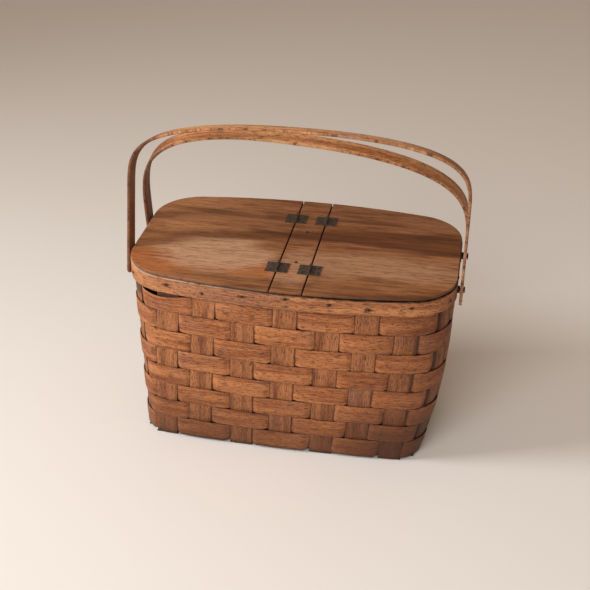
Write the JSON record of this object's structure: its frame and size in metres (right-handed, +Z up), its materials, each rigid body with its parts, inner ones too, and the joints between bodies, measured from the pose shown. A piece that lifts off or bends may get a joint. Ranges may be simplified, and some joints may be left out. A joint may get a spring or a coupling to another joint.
{
  "type": "picnic basket",
  "caption": "Splint-woven picnic basket with a hinged two-flap board lid, a bentwood rim and two swinging bentwood handles.",
  "frame": {"origin": "on the floor, under the middle of the lid", "axes": "+X along the basket to the end that shows on the picture's right, +Y to the rear, +Z up"},
  "size_m": [0.4758, 0.2796, 0.4704],
  "materials": {
    "weaver_splint": "aged varnished ash splint, satin",
    "stake_splint": "aged varnished ash splint, satin",
    "rim_wood": "aged varnished bentwood, satin",
    "lid_board": "varnished board, semi-gloss with wear",
    "bar_wood": "plain sawn wood",
    "handle_wood": "aged varnished bentwood, satin",
    "hinge_iron": "dark aged steel",
    "nail_iron": "rusted steel",
    "rivet_iron": "dark aged steel"
  },
  "bodies": {
    "basket": {"weaver_1": "weaver_splint", "weaver_2": "weaver_splint", "weaver_3": "weaver_splint", "weaver_4": "weaver_splint", "weaver_5": "weaver_splint", "weaver_6": "weaver_splint", "weaver_7": "weaver_splint", "weaver_8": "weaver_splint", "stake_front_to_back_1": "stake_splint", "stake_front_to_back_2": "stake_splint", "stake_front_to_back_3": "stake_splint", "stake_front_to_back_4": "stake_splint", "stake_front_to_back_5": "stake_splint", "stake_front_to_back_6": "stake_splint", "stake_front_to_back_7": "stake_splint", "stake_end_to_end_1": "stake_splint", "stake_end_to_end_2": "stake_splint", "stake_end_to_end_3": "stake_splint", "stake_end_to_end_4": "stake_splint", "rim_outer_hoop": "rim_wood", "rim_inner_hoop": "rim_wood", "rim_nails": "nail_iron", "centre_strip": "lid_board", "cross_bar": "bar_wood", "centre_strip_brads": "nail_iron", "centre_strip_leaf_nails": "nail_iron", "hinge_left_front_fixed_leaf": "hinge_iron", "hinge_left_rear_fixed_leaf": "hinge_iron", "hinge_right_front_fixed_leaf": "hinge_iron", "hinge_right_rear_fixed_leaf": "hinge_iron", "hinge_left_front_pin": "hinge_iron", "hinge_left_rear_pin": "hinge_iron", "hinge_right_front_pin": "hinge_iron", "hinge_right_rear_pin": "hinge_iron", "handle_rivets_front": "rivet_iron", "handle_rivets_rear": "rivet_iron", "rivet_washers": "rivet_iron", "handle_spacers": "rivet_iron"},
    "left_flap": {"left_lid_flap": "lid_board", "left_lid_flap_leaf_nails": "nail_iron", "hinge_left_front_flap_leaf": "hinge_iron", "hinge_left_rear_flap_leaf": "hinge_iron"},
    "right_flap": {"right_lid_flap": "lid_board", "right_lid_flap_leaf_nails": "nail_iron", "hinge_right_front_flap_leaf": "hinge_iron", "hinge_right_rear_flap_leaf": "hinge_iron"},
    "front_handle": {"front_handle_strap": "handle_wood"},
    "rear_handle": {"rear_handle_strap": "handle_wood"}
  },
  "joints": [
    {"name": "left_flap_hinge", "type": "hinge", "parent": "basket", "child": "left_flap", "pos_m": [-0.0168, 0, 0.2945], "axis": [0, 1, 0], "range_deg": [0, 33]},
    {"name": "right_flap_hinge", "type": "hinge", "parent": "basket", "child": "right_flap", "pos_m": [0.0278, 0, 0.2945], "axis": [0, -1, 0], "range_deg": [0, 18]},
    {"name": "front_handle_swing", "type": "hinge", "parent": "basket", "child": "front_handle", "pos_m": [0, -0.049, 0.2708], "axis": [1, 0, 0], "range_deg": [0, 165]},
    {"name": "rear_handle_swing", "type": "hinge", "parent": "basket", "child": "rear_handle", "pos_m": [0, 0.049, 0.2708], "axis": [-1, 0, 0], "range_deg": [0, 150]}
  ]
}
